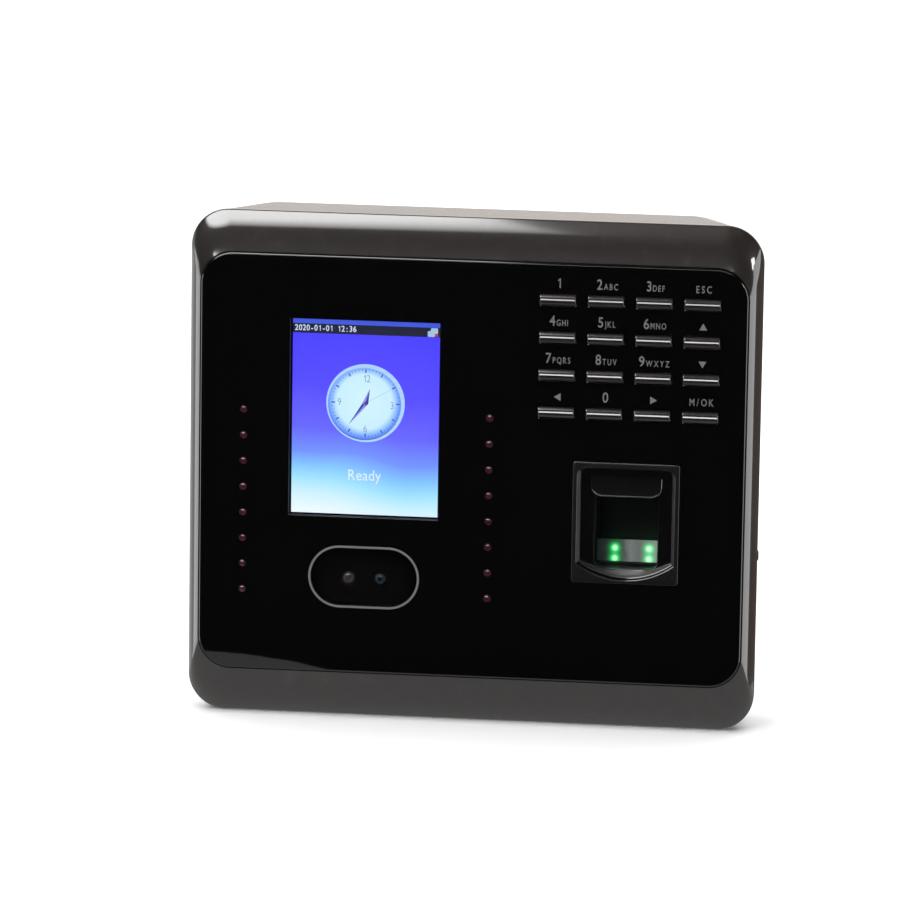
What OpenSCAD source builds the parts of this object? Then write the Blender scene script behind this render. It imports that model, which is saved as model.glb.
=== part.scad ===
// Wall-mounted face, fingerprint and keypad terminal for door access.
// Millimetres. +X is to the viewer's right, +Y points into the wall and +Z is up.
// The origin is on the wall, behind the middle of the bezel. Depths count back from the panel's face.

/* [Body] */
// Width across the bezel
body_w = 167.5; // [167:0.5:172]
// Height across the bezel
body_h = 149.6; // [149:0.2:154]
// Depth from the panel's face to the wall
body_depth = 32.2; // [32:0.1:33]
// Corner radius of the bezel's outer edge
body_r = 11; // [10:0.5:13]
// Wall thickness of the mouldings
wall = 2.2; // [2:0.1:2.4]
// Depth at which the bezel's sloping face ends
bezel_slope_d = 6; // [5.8:0.1:6.4]
// Depth of the seam between bezel and rear housing
seam_d = 7.5; // [7.4:0.1:7.8]

/* [Front panel] */
// Width of the panel
panel_w = 160; // [159:0.5:161]
// Height of the panel
panel_h = 124; // [123.5:0.5:124.5]
// Height of the panel's middle above the body's middle
panel_z = 1.15; // [1:0.05:1.3]
// Corner radius of the panel
panel_r = 9.5; // [9:0.5:10.5]
// Thickness of the panel
panel_t = 2.3; // [2.2:0.1:2.4]
// Width of the bevel round the panel's edge
panel_bevel = 1.6; // [1.2:0.1:2]

/* [Display] */
// Width of the picture
display_w = 43.2; // [42:0.2:44]
// Height of the picture
display_h = 57.6; // [56:0.2:58]
// Middle of the picture, sideways
display_x = -31.5; // [-32:0.1:-31]
// Middle of the picture, upwards
display_z = 15; // [14.6:0.1:15.6]

/* [Cameras] */
// Middle of the camera window, sideways
camera_x = -31.1; // [-32:0.1:-30.5]
// Middle of the camera window, upwards
camera_z = -32.1; // [-33:0.1:-31.6]
// Width of the camera window
camera_w = 31.2; // [30:0.2:32]
// Height of the camera window
camera_h = 17; // [16:0.2:17]
// Distance between the two lenses
lens_gap = 9.44; // [9:0.1:11]

/* [Infrared lamps] */
// Lamps in each column
lamps = 8; // [6:1:8]
// Distance between lamps
lamp_pitch = 7.68; // [7:0.1:7.7]
// Height of the top lamp
lamp_top_z = 16.7; // [16:0.1:18]
// Column to the left, sideways
lamp_left_x = -67.2; // [-68:0.1:-66]
// Column to the right, sideways
lamp_right_x = 5.2; // [4.8:0.1:6]
// Radius of a lamp's nose
lamp_r = 1; // [0.8:0.05:1.1]

/* [Keypad] */
// Width of a key
key_w = 10.5; // [9.5:0.5:10.5]
// Height of a key
key_h = 3.3; // [3:0.1:3.6]
// Sideways distance between keys
key_pitch_x = 14; // [13.6:0.1:14.2]
// Upward distance between keys
key_pitch_z = 11.05; // [10.5:0.05:11.1]
// Middle of the first key, sideways
key_first_x = 24.65; // [24:0.05:25]
// Middle of the top row, upwards
key_first_z = 52.4; // [52:0.1:52.6]
// Distance that a key travels
key_travel = 1; // [0.6:0.1:1]
// Height of a key's crest above the panel
key_proud = 1.1; // [0.9:0.1:1.4]

/* [Fingerprint reader] */
// Width of the reader's frame
finger_w = 31.3; // [31:0.1:32]
// Height of the reader's frame
finger_h = 36; // [35.5:0.1:36]
// Middle of the frame, sideways
finger_x = 45.5; // [45:0.1:46]
// Middle of the frame, upwards
finger_z = -13; // [-13.5:0.1:-13]
// Tilt of the sensor window
finger_tilt = 8; // [4:1:10]

/* [Wall plate] */
// Width of the plate
plate_w = 130; // [126:1:130]
// Height of the plate
plate_h = 112; // [108:1:112]
// Thickness of the plate
plate_t = 1.5; // [1.2:0.1:1.5]
// Sideways distance between the wall screws
plate_hole_x = 100; // [90:1:104]
// Upward distance between the wall screws
plate_hole_z = 80; // [76:1:84]
// Radius of a wall screw hole
plate_hole_r = 2.25; // [2:0.05:2.6]
// Distance that the terminal lifts off its hooks
lift = 6; // [5:0.5:6]

/* [Hidden] */
$fn = 64;
eps = 0.05;
gap = 0.3;

key_names = [
    ["1", "2", "3", "esc"],
    ["4", "5", "6", "up"],
    ["7", "8", "9", "down"],
    ["left", "0", "right", "menu"]
];

// Depths of the stack, front to back
bevel_d = 0.8;
ridge_d = 0.6;
tape_t = 0.5;
ledge_d = panel_t + tape_t;
ledge_t = 2;
ledge_w = 3.5;
skirt_d = 11;
skirt_inset = 7;
skirt_t = 1.3;
skirt_r = 11;
cavity_w = body_w - 8.5;
cavity_h = body_h - 10.6;
cavity_r = 6;
floor_d = 27.8;
recess_d = 30;
back_d = 31.6;
rear_corner_d = 27;
rear_w = body_w - 8.5;
rear_h = body_h - 1.6;
rear_r = 18.5;
plate_d = body_depth - plate_t;
board_d = 20.4;
board_t = 1.6;

// Case and board fastenings
case_x = 70;
case_z = 60;
case_split_d = 14.2;
case_seat_d = 17.5;
post_x = 58;
post_z = 44;

// Display stack
window_margin = 0.5;
glass_d = panel_t + 0.2;
glass_t = 1.1;
module_w = 50;
module_h = 69.2;
module_t = 2.8;
module_top = 3;

// Cameras
barrel_r = 3;
lens_x = camera_x - 0.25;
lens_z = camera_z - 0.85;
camera_board_d = 8;

// Lamps
lamp_tip_d = 0.5;
lamp_board_d = 6;
lamp_rim_r = 1.45;

// Keypad
key_flange_d = panel_t + gap;
key_flange_t = 0.8;
key_stem_r = 1.5;
key_stem_end_d = 4.7;
dome_r = 3.2;
dome_h = 1.2;
mat_d = key_stem_end_d + key_travel + gap + dome_h;
keypad_board_d = 8;
keypad_x = key_first_x + 1.5 * key_pitch_x;
keypad_z = key_first_z - 1.5 * key_pitch_z;

// Fingerprint reader
rim = 1.2;
lip_rim = 0.9;
lip_r = 24;
well_w = 18.8;
well_h = 23.4;
well_z = finger_z - 2.4;
well_r = 2.5;
hood_w = 21;
hood_h = 11.4;
hood_z = finger_z + 8.2 + hood_h / 2;
finger_frame_d = 11;
sensor_w = 18;
sensor_h = 20.5;
sensor_z = finger_z - 2.4;
sensor_d = 7;
strip_h = 6.4;
led_x = [-3.55, 6.45];
led_z = [1.2, 4.3];

// Wall plate
hook_w = 12;
hook_up = 4;
hook_x = 48;
hook_z = [14, -34];
hook_face_d = 25.9;
window_w = 62;
window_h = 36;
window_z = -24;
lug_w = 14;
lug_d = 22.5;
lug_screw_d = 25.5;
lug_hole_r = 1.9;
screw_r = 1.5;
screw_length = 19;

// Side socket
usb_d = 17.45;
usb_z = -24.2;
usb_w = 13.1;
usb_t = 5.7;
usb_out = 80.6;
cover_w = 17;
cover_t = 9.4;
cover_depth = 1.4;

// Tamper switch
tamper_x = 34;
tamper_z = 22;
tamper_r = 1.75;
tamper_base_d = 24.8;

// Speaker
speaker_x = -44;
speaker_d = 19.5;
speaker_r = 8;

// A rectangle with round corners, drawn about the origin
module rounded(w, h, r) {
    square([w - 2 * r, h], center = true);
    square([w, h - 2 * r], center = true);
    for (sx = [-1, 1], sy = [-1, 1])
        translate([sx * (w / 2 - r), sy * (h / 2 - r)]) circle(r);
}

// Stands a flat drawing up, facing the viewer, and fills it from one depth to another
module slab(near, far) {
    translate([0, far - body_depth, 0])
        rotate([90, 0, 0])
            linear_extrude(far - near) children();
}

// A box given by its middle in X and Z and its two depths
module block(x, z, w, h, near, far) {
    translate([x - w / 2, near - body_depth, z - h / 2]) cube([w, far - near, h]);
}

// A round bar along Y between two depths
module bar(x, z, r, near, far) {
    translate([x, far - body_depth, z]) rotate([90, 0, 0]) cylinder(h = far - near, r = r);
}

// A thin rounded layer at one depth, for hulls
module layer(w, h, r, z, d) {
    translate([0, 0, z]) slab(d, d + eps) rounded(w, h, r);
}

// The bezel's face drops faster towards its outer edge
function slope(t) = ridge_d + (bezel_slope_d - ridge_d) * (0.5 * t + 0.5 * pow(t, 3));
function between(a, b, t) = a + (b - a) * t;

module bezel_form() {
    hull() {
        for (t = [0:0.25:1])
            layer(between(panel_w + 0.6, body_w, t), between(panel_h + 0.6, body_h, t),
                between(panel_r + 0.3, body_r, t), between(panel_z, 0, t), slope(t));
        layer(body_w, body_h, body_r, 0, seam_d - eps);
    }
}

module front_bezel() {
    color([0.25, 0.24, 0.24]) difference() {
        union() {
            difference() {
                bezel_form();
                translate([0, 0, panel_z])
                    slab(-1, ledge_d) rounded(panel_w + 0.2, panel_h + 0.2, panel_r + 0.1);
                translate([0, 0, panel_z])
                    slab(-1, seam_d + 1) rounded(panel_w - 2 * ledge_w, panel_h - 2 * ledge_w, 6);
                slab(ledge_d + ledge_t, seam_d + 1) rounded(cavity_w, cavity_h, cavity_r);
            }
            slab(seam_d - eps, skirt_d) difference() {
                rounded(body_w - skirt_inset, body_h - skirt_inset + 1, skirt_r);
                rounded(body_w - skirt_inset - 2 * skirt_t, body_h - skirt_inset + 1 - 2 * skirt_t,
                    skirt_r - skirt_t);
            }
            for (sx = [-1, 1], sz = [-1, 1])
                bar(sx * case_x, sz * case_z, 3.5, ledge_d + 0.8, case_split_d - 0.2);
        }
        for (sx = [-1, 1], sz = [-1, 1])
            bar(sx * case_x, sz * case_z, 1.35, ledge_d + 3, case_split_d + 1);
    }
}

module panel_tape() {
    color([0.1, 0.1, 0.1]) translate([0, 0, panel_z]) slab(panel_t, ledge_d) difference() {
        rounded(panel_w - 1, panel_h - 1, panel_r - 0.5);
        rounded(panel_w - 2 * ledge_w + 0.6, panel_h - 2 * ledge_w + 0.6, 6);
    }
}

module front_panel() {
    color([0.03, 0.03, 0.03]) difference() {
        hull() {
            layer(panel_w - 2 * panel_bevel, panel_h - 2 * panel_bevel, panel_r - panel_bevel, panel_z, 0);
            layer(panel_w, panel_h, panel_r, panel_z, bevel_d);
            layer(panel_w, panel_h, panel_r, panel_z, panel_t - eps);
        }
        block(display_x, display_z, display_w + 2 * window_margin, display_h + 2 * window_margin, -1, 4);
        translate([camera_x, 0, camera_z])
            slab(-1, 4) rounded(camera_w, camera_h, camera_h / 2 - 0.01);
        block(finger_x, finger_z, finger_w + 0.3, finger_h + 0.3, -1, 4);
        for (row = [0:3], col = [0:3])
            block(key_x(col), key_z(row), key_w + 2 * gap, key_h + 2 * gap, -1, 4);
        for (x = [lamp_left_x, lamp_right_x], i = [0:lamps - 1])
            bar(x, lamp_top_z - i * lamp_pitch, lamp_r + 0.15, -1, 4);
    }
}

module display_window() {
    color([0.5, 0.6, 0.7, 0.3])
        block(display_x, display_z, display_w + 2 * window_margin - 0.04,
            display_h + 2 * window_margin - 0.04, 0, panel_t);
}

module display_glass() {
    color([0.2, 0.25, 0.8])
        block(display_x, display_z, display_w + 3, display_h + 4, glass_d, glass_d + glass_t);
}

module display_frame() {
    near = glass_d + glass_t + eps;
    middle_z = display_z + display_h / 2 + module_top - module_h / 2;
    color([0.75, 0.75, 0.76]) block(display_x, middle_z, module_w, module_h, near, near + module_t);
}

module camera_window() {
    color([0.12, 0.1, 0.12, 0.6]) translate([camera_x, 0, camera_z])
        slab(0, panel_t) rounded(camera_w - 0.04, camera_h - 0.04, camera_h / 2 - 0.03);
}

module camera_board() {
    color([0.05, 0.2, 0.1]) block(camera_x, camera_z - 0.6, 40, 20, camera_board_d, camera_board_d + 1.2);
}

// A square base, a threaded barrel and a stopped-down glass of its own radius
module camera_lens(x, glass_r) {
    block(x, lens_z, 8, 8, 6.4, camera_board_d);
    bar(x, lens_z, barrel_r, 3.6, 6.4);
    difference() {
        bar(x, lens_z, barrel_r - 0.4, 2.9, 3.6);
        bar(x, lens_z, glass_r, 2.5, 3.3);
    }
    intersection() {
        translate([x, 5.4 - body_depth, lens_z]) sphere(r = 2.4);
        bar(x, lens_z, glass_r, 2.5, 4);
    }
}

module camera_lens_color() {
    color([0.2, 0.2, 0.22]) camera_lens(lens_x - lens_gap / 2, 2);
}

module camera_lens_infrared() {
    color([0.2, 0.2, 0.22]) camera_lens(lens_x + lens_gap / 2, 1.65);
}

module lamp_board(x) {
    run = (lamps - 1) * lamp_pitch;
    block(x, lamp_top_z - run / 2, 8, run + 7, lamp_board_d, lamp_board_d + 1);
}

module lamp_board_left() {
    color([0.05, 0.2, 0.1]) lamp_board(lamp_left_x);
}

module lamp_board_right() {
    color([0.05, 0.2, 0.1]) lamp_board(lamp_right_x);
}

module lamp(x, z) {
    bar(x, z, lamp_rim_r, panel_t + gap, lamp_board_d);
    bar(x, z, lamp_r, lamp_tip_d + 0.3, panel_t + gap + eps);
    bar(x, z, lamp_r - 0.25, lamp_tip_d, lamp_tip_d + 0.35);
}

module lamp_column(x) {
    for (i = [0:lamps - 1]) lamp(x, lamp_top_z - i * lamp_pitch);
}

module lamps_left() {
    color([0.35, 0.05, 0.25]) lamp_column(lamp_left_x);
}

module lamps_right() {
    color([0.35, 0.05, 0.25]) lamp_column(lamp_right_x);
}

function key_x(col) = key_first_x + col * key_pitch_x;
function key_z(row) = key_first_z - row * key_pitch_z;

// A half-round bar with a flange behind the panel and a stem above its dome
module key(row, col) {
    r = key_h / 2;
    x = key_x(col);
    z = key_z(row);
    color([0.3, 0.29, 0.3]) {
        translate([x, r - key_proud - body_depth, z])
            rotate([0, 90, 0]) cylinder(h = key_w, r = r, center = true);
        block(x, z, key_w, key_h, r - key_proud, key_flange_d + eps);
        block(x, z, key_w + 1.8, key_h + 1.4, key_flange_d, key_flange_d + key_flange_t);
        bar(x, z, key_stem_r, key_flange_d + key_flange_t - eps, key_stem_end_d);
    }
}

// One rubber sheet with a dome under each key
module keypad_mat() {
    color([0.85, 0.85, 0.82]) {
        block(keypad_x, keypad_z, 3 * key_pitch_x + 13, 3 * key_pitch_z + 6.4, mat_d, keypad_board_d);
        for (row = [0:3], col = [0:3]) {
            bar(key_x(col), key_z(row), dome_r, mat_d - 0.7, mat_d + eps);
            bar(key_x(col), key_z(row), dome_r - 1.2, mat_d - dome_h, mat_d - 0.6);
        }
    }
}

module keypad_board() {
    color([0.05, 0.25, 0.12])
        block(keypad_x, keypad_z, 3 * key_pitch_x + 14, 3 * key_pitch_z + 7, keypad_board_d, keypad_board_d + 1.6);
}

// The mouth of the reader: square shoulders at the top and a round lower lip
module finger_mouth() {
    intersection() {
        translate([0, (lip_rim - rim) / 2]) rounded(finger_w - 2 * rim, finger_h - lip_rim - rim, 3);
        translate([0, lip_r - finger_h / 2 + lip_rim]) circle(lip_r, $fn = 128);
    }
}

module fingerprint_frame() {
    color([0.06, 0.06, 0.065]) difference() {
        union() {
            difference() {
                union() {
                    translate([finger_x, 0, finger_z])
                        slab(0, finger_frame_d) rounded(finger_w, finger_h, 0.8);
                    block(finger_x, finger_z, finger_w + 4, finger_h + 4, panel_t + 0.1, panel_t + 1.6);
                }
                translate([finger_x, 0, finger_z]) slab(-1, 2.4) finger_mouth();
            }
            translate([finger_x, 0, hood_z - 0.6])
                slab(0.9, 3) rounded(hood_w, hood_h - 1.2, 3);
            translate([finger_x, 0.9 - body_depth + 1.4, hood_z - hood_h / 2 + 1.4])
                rotate([0, 90, 0]) cylinder(h = hood_w - 6, r = 1.4, center = true);
        }
        translate([finger_x, 0, well_z])
            slab(2.2, finger_frame_d + 1) rounded(well_w, well_h, well_r);
        block(finger_x, well_z - 3, well_w - 1, well_h - 8, -1, 3);
    }
}

// Carries children to the sensor's tilted plane, with the front of the glass at zero
module on_sensor() {
    translate([finger_x, sensor_d - body_depth, sensor_z]) rotate([-finger_tilt, 0, 0]) children();
}

module fingerprint_window() {
    color([0.15, 0.16, 0.16, 0.5]) on_sensor()
        translate([-sensor_w / 2, 0, -sensor_h / 2]) cube([sensor_w, 1.2, sensor_h]);
}

// The lit strip behind the lower third of the glass
module fingerprint_diffuser() {
    color([0.85, 0.87, 0.86]) on_sensor()
        translate([-sensor_w / 2 + 0.2, 1.3, -sensor_h / 2 + 0.1]) cube([sensor_w - 0.4, 0.8, strip_h]);
}

module fingerprint_leds() {
    color([0.2, 0.95, 0.4]) on_sensor()
        for (x = led_x, z = led_z)
            translate([x, 2.6, z - sensor_h / 2]) rotate([90, 0, 0]) cylinder(h = 0.45, r = 0.9);
}

module fingerprint_case() {
    color([0.02, 0.02, 0.02]) difference() {
        block(finger_x, finger_z - 2.4, 26, 30, finger_frame_d + 0.1, 17);
        translate([finger_x, 0, well_z]) slab(finger_frame_d, 15) rounded(well_w - 2, well_h - 2, 2);
    }
}

module fingerprint_board() {
    color([0.05, 0.2, 0.1]) block(finger_x, finger_z - 2.4, 28, 32, 17.1, 18.3);
}

module main_board() {
    color([0.04, 0.24, 0.12]) difference() {
        block(2, -2, 138, 100, board_d, board_d + board_t);
        for (sx = [-1, 1], sz = [-1, 1])
            bar(sx * post_x, sz * post_z - 2, 1.7, board_d - 1, board_d + board_t + 1);
    }
}

// Processor, memory, converters and a tall capacitor on both faces of the board
module main_chips() {
    back = board_d + board_t;
    color([0.08, 0.08, 0.09]) {
        block(-10, 30, 16, 16, board_d - 1.4, board_d);
        block(-32, 32, 12, 18, board_d - 1.1, board_d);
        block(14, 34, 10, 10, board_d - 1.2, board_d);
        block(-52, -24, 9, 9, board_d - 1.2, board_d);
        block(12, 34, 14, 9, back, back + 2.2);
        block(-14, 32, 10, 10, back, back + 1.6);
        bar(30, 36, 4, back, back + 5);
    }
}

module coin_cell() {
    color([0.7, 0.7, 0.68]) bar(-42, 34, 10, board_d + board_t, board_d + board_t + 3.2);
}

module speaker() {
    color([0.15, 0.15, 0.16]) {
        translate([speaker_x, speaker_d - body_depth, -71]) cylinder(h = 1.2, r = speaker_r);
        translate([speaker_x, speaker_d - body_depth, -69.9]) cylinder(h = 4, r = speaker_r - 2.5);
    }
}

module tamper_switch() {
    back = board_d + board_t;
    color([0.1, 0.1, 0.1]) difference() {
        block(tamper_x, tamper_z, 8, 8, back, 25.2);
        bar(tamper_x, tamper_z, tamper_r + 0.35, back + 0.6, 26);
    }
}

module tamper_plunger() {
    color([0.85, 0.85, 0.83]) bar(tamper_x, tamper_z, tamper_r, tamper_base_d, plate_d - 0.1);
}

// The side wall's outer face, which leans in towards the wall
function side_x(d) = between((body_w - 0.4) / 2, rear_w / 2, (d - seam_d) / (rear_corner_d - seam_d));

module rear_form() {
    hull() {
        layer(body_w - 0.4, body_h - 0.4, body_r, 0, seam_d);
        layer(rear_w, rear_h, rear_r, 0, rear_corner_d);
        layer(rear_w - 2.5, rear_h - 2.5, rear_r - 1.3, 0, back_d - 1.8);
        layer(rear_w - 8, rear_h - 8, rear_r - 4, 0, back_d - eps);
    }
}

module rear_hollow() {
    hull() {
        layer(body_w - 2 * wall, body_h - 2 * wall, body_r - wall, 0, seam_d - 0.1);
        layer(rear_w - 2 * wall, rear_h - 2 * wall, rear_r - wall, 0, floor_d - eps);
    }
}

module rear_housing() {
    color([0.2, 0.19, 0.19]) difference() {
        union() {
            difference() {
                rear_form();
                rear_hollow();
            }
            for (sx = [-1, 1], sz = [-1, 1]) {
                bar(sx * case_x, sz * case_z, 4.2, case_split_d, floor_d + eps);
                bar(sx * post_x, sz * post_z - 2, 3, board_d + board_t, floor_d + eps);
            }
            block(0, -body_h / 2 + 2.8, 14, 3.6, 20, floor_d + eps);
        }
        translate([0, 0, -lift / 2])
            slab(recess_d, body_depth) rounded(plate_w + 3, plate_h + 3 + lift, 5);
        block(0, window_z, window_w, window_h, floor_d - 1, body_depth);
        for (sx = [-1, 1], z = hook_z)
            block(sx * hook_x, z - lift / 2, hook_w + 1, plate_t + lift + 0.8, floor_d - 1, body_depth);
        block(0, lug_z() - lift / 2, lug_w + 1, plate_t + lift + 0.8, floor_d - 1, body_depth);
        translate([0, lug_screw_d - body_depth, -body_h / 2 - 1]) cylinder(h = 8, r = 1.8);
        translate([0, lug_screw_d - body_depth, -body_h / 2 - 1]) cylinder(h = 3.2, r = 3.2);
        for (sx = [-1, 1], sz = [-1, 1]) {
            bar(sx * case_x, sz * case_z, 1.7, case_split_d - 1, body_depth);
            bar(sx * case_x, sz * case_z, 3.2, case_seat_d, body_depth);
            bar(sx * post_x, sz * post_z - 2, 1.2, board_d, floor_d - 1);
        }
        bar(tamper_x, tamper_z, tamper_r + 0.35, floor_d - 1, body_depth);
        for (i = [-2:2])
            translate([speaker_x + i * 2.6 - 0.6, speaker_d - body_depth - 4.5, -body_h / 2 - 1])
                cube([1.2, 9, 5]);
        translate([usb_out - 6, usb_d - body_depth - usb_t / 2 - 0.2, usb_z - usb_w / 2 - 0.2])
            cube([12, usb_t + 0.4, usb_w + 0.4]);
        on_side() translate([-cover_depth - 0.2, -cover_t / 2 - 0.2, -cover_w / 2 - 0.2])
            cube([cover_depth + 3, cover_t + 0.4, cover_w + 0.4]);
    }
}

// Carries children to the side wall's leaning face, at the socket's middle
module on_side() {
    lean = atan((side_x(seam_d) - side_x(rear_corner_d)) / (rear_corner_d - seam_d));
    translate([side_x(usb_d), usb_d - body_depth, usb_z]) rotate([0, 0, lean]) children();
}

// A flap with a pull tab, hinged on its round lower edge
module usb_cover() {
    color([0.08, 0.08, 0.08]) on_side() {
        translate([-cover_depth, -cover_t / 2, cover_depth / 2 - cover_w / 2])
            cube([cover_depth, cover_t, cover_w - cover_depth / 2]);
        translate([-cover_depth / 2, 0, cover_depth / 2 - cover_w / 2])
            rotate([90, 0, 0]) cylinder(h = cover_t, r = cover_depth / 2, center = true);
        translate([-eps, -2.5, -1.3]) cube([1.6, 5, 2.6]);
    }
}

module usb_socket() {
    color([0.7, 0.7, 0.7]) {
        difference() {
            translate([66, usb_d - body_depth - usb_t / 2, usb_z - usb_w / 2]) cube([12.6, usb_t, usb_w]);
            translate([67, usb_d - body_depth - usb_t / 2 + 0.5, usb_z - usb_w / 2 + 0.5])
                cube([20, usb_t - 1, usb_w - 1]);
        }
        translate([66.5, usb_d - body_depth + 0.2, usb_z - 5.5]) cube([11, 1.8, 11]);
    }
}

// A shrouded header with eight pins, open towards the wall
module network_socket() {
    back = board_d + board_t;
    x = -18;
    z = window_z - 8;
    color([0.92, 0.91, 0.87]) difference() {
        block(x, z, 21, 7.4, back, back + 6.6);
        block(x, z, 19, 5.4, back + 1.2, back + 7);
    }
    color([0.85, 0.7, 0.3]) for (i = [-3.5:3.5])
        block(x + i * 2, z, 0.6, 0.6, back + 1.1, back + 4.6);
}

// Two rows of screw terminals for power, lock and sensors
module terminal_blocks() {
    back = board_d + board_t;
    ways = 6;
    pitch = 3.81;
    color([0.1, 0.5, 0.25]) for (z = [window_z + 10, window_z + 0.5], side = [0, 1])
        difference() {
            block(side * 29 - 14, z, ways * pitch + 1, 7.6, back, back + 6.4);
            for (i = [0:ways - 1]) {
                x = side * 29 - 14 + (i - (ways - 1) / 2) * pitch;
                bar(x, z + 1.4, 1.3, back + 3, back + 7);
                block(x, z - 2.6, 2.4, 1.6, back + 2, back + 7);
            }
        }
}

// Flat ribbons from each front board back to the main board
module ribbon_cables() {
    color([0.8, 0.78, 0.7]) {
        block(display_x, -20, 12, 0.3, 6.6, board_d);
        block(camera_x, -40, 8, 0.3, camera_board_d + 1.2, board_d);
        block(keypad_x, 30, 14, 0.3, keypad_board_d + 1.6, board_d);
        block(keypad_x, -6, 8, 0.3, 18.3, board_d);
        block(lamp_left_x + 3.4, -10, 0.3, 4, lamp_board_d + 1, board_d);
        block(lamp_right_x, -10, 0.3, 4, lamp_board_d + 1, board_d);
    }
}

module case_screws() {
    color([0.3, 0.3, 0.32]) for (sx = [-1, 1], sz = [-1, 1])
        difference() {
            union() {
                bar(sx * case_x, sz * case_z, 1.25, ledge_d + 4, case_seat_d + eps);
                bar(sx * case_x, sz * case_z, 2.7, case_seat_d, case_seat_d + 2);
            }
            block(sx * case_x, sz * case_z, 3, 0.6, case_seat_d + 1.2, case_seat_d + 3);
            block(sx * case_x, sz * case_z, 0.6, 3, case_seat_d + 1.2, case_seat_d + 3);
        }
}

module board_screws() {
    color([0.6, 0.6, 0.62]) for (sx = [-1, 1], sz = [-1, 1])
        difference() {
            union() {
                bar(sx * post_x, sz * post_z - 2, 1.1, board_d - eps, floor_d - 1.5);
                bar(sx * post_x, sz * post_z - 2, 2.6, board_d - 1.7, board_d);
            }
            block(sx * post_x, sz * post_z - 2, 3, 0.6, board_d - 3, board_d - 1);
        }
}

function lug_z() = (plate_t - plate_h) / 2;

module security_screw() {
    head_z = -body_h / 2 + 2.2;
    color([0.55, 0.55, 0.57]) translate([0, lug_screw_d - body_depth, head_z]) difference() {
        union() {
            cylinder(h = screw_length, r = screw_r);
            translate([0, 0, -1.6]) cylinder(h = 1.6, r = 2.8);
        }
        translate([0, 0, -2]) cylinder(h = 1.4, r = 1.2, $fn = 6);
    }
}

// A hook reaches forward through the housing and turns up
module hook(x, z) {
    block(x, z, hook_w, plate_t, hook_face_d, plate_d + eps);
    block(x, z + hook_up / 2, hook_w, plate_t + hook_up, hook_face_d, hook_face_d + plate_t);
}

module wall_plate() {
    color([0.62, 0.63, 0.65]) difference() {
        union() {
            slab(plate_d, body_depth) rounded(plate_w, plate_h, 4);
            for (sx = [-1, 1], z = hook_z) hook(sx * hook_x, z);
            block(0, lug_z(), lug_w, plate_t, lug_d, plate_d + eps);
        }
        block(0, window_z, window_w - 2, window_h - 2, plate_d - 1, body_depth + 1);
        for (sx = [-1, 1], sz = [-1, 1])
            bar(sx * plate_hole_x / 2, sz * plate_hole_z / 2, plate_hole_r,
                plate_d - 1, body_depth + 1);
        for (sx = [-1, 1], z = hook_z)
            block(sx * hook_x, z + 4, hook_w - 2, 5, plate_d - 1, body_depth + 1);
        translate([0, lug_screw_d - body_depth, lug_z() - 3]) cylinder(h = 6, r = lug_hole_r);
    }
}

wall_plate();
rear_housing();
front_bezel();
front_panel();
panel_tape();
display_window();
display_glass();
display_frame();
camera_window();
camera_board();
camera_lens_color();
camera_lens_infrared();
lamp_board_left();
lamp_board_right();
lamps_left();
lamps_right();
for (row = [0:3], col = [0:3])
    key(row, col);
keypad_mat();
keypad_board();
fingerprint_frame();
fingerprint_window();
fingerprint_diffuser();
fingerprint_leds();
fingerprint_case();
fingerprint_board();
main_board();
main_chips();
coin_cell();
speaker();
tamper_switch();
tamper_plunger();
usb_socket();
usb_cover();
network_socket();
terminal_blocks();
ribbon_cables();
case_screws();
board_screws();
security_screw();
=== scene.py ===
"""Looks of a wall-mounted face, fingerprint and keypad terminal.

Sizes in this script are millimetres: x to the viewer's right, z up, and depth counted back from the
panel's face. place() turns them into the metres of the frame.
"""

import math

import bmesh
import bpy
from mathutils import Euler, Matrix, Vector


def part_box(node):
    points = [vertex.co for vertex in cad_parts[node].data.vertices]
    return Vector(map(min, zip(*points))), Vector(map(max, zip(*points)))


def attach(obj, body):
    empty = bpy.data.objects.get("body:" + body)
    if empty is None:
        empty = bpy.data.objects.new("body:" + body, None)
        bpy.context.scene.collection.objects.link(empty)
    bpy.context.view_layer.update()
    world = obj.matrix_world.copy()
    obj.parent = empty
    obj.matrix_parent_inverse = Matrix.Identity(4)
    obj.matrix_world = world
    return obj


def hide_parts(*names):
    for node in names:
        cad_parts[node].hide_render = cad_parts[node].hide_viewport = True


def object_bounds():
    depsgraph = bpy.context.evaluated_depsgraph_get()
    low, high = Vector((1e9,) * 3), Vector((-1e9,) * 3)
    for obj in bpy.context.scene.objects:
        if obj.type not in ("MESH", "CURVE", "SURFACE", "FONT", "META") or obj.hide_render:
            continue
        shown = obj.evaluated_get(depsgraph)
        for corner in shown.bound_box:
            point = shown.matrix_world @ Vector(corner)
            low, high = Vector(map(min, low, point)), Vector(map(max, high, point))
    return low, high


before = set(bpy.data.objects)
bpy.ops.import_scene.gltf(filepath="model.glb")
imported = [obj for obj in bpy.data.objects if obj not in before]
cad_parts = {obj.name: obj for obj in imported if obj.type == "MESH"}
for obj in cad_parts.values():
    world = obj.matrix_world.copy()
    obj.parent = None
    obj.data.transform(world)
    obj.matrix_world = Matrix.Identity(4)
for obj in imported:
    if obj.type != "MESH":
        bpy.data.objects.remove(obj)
cad_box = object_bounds()

MM = 0.001
BLACK = (0, 0, 0, 1)
FACE_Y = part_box("front_panel")[0].y
BODY = "terminal"


# ---- places and sizes


def place(x, depth, z):
    """A point of the frame, in metres, from millimetres and a depth behind the panel's face."""
    return Vector((x * MM, FACE_Y + depth * MM, z * MM))


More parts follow.
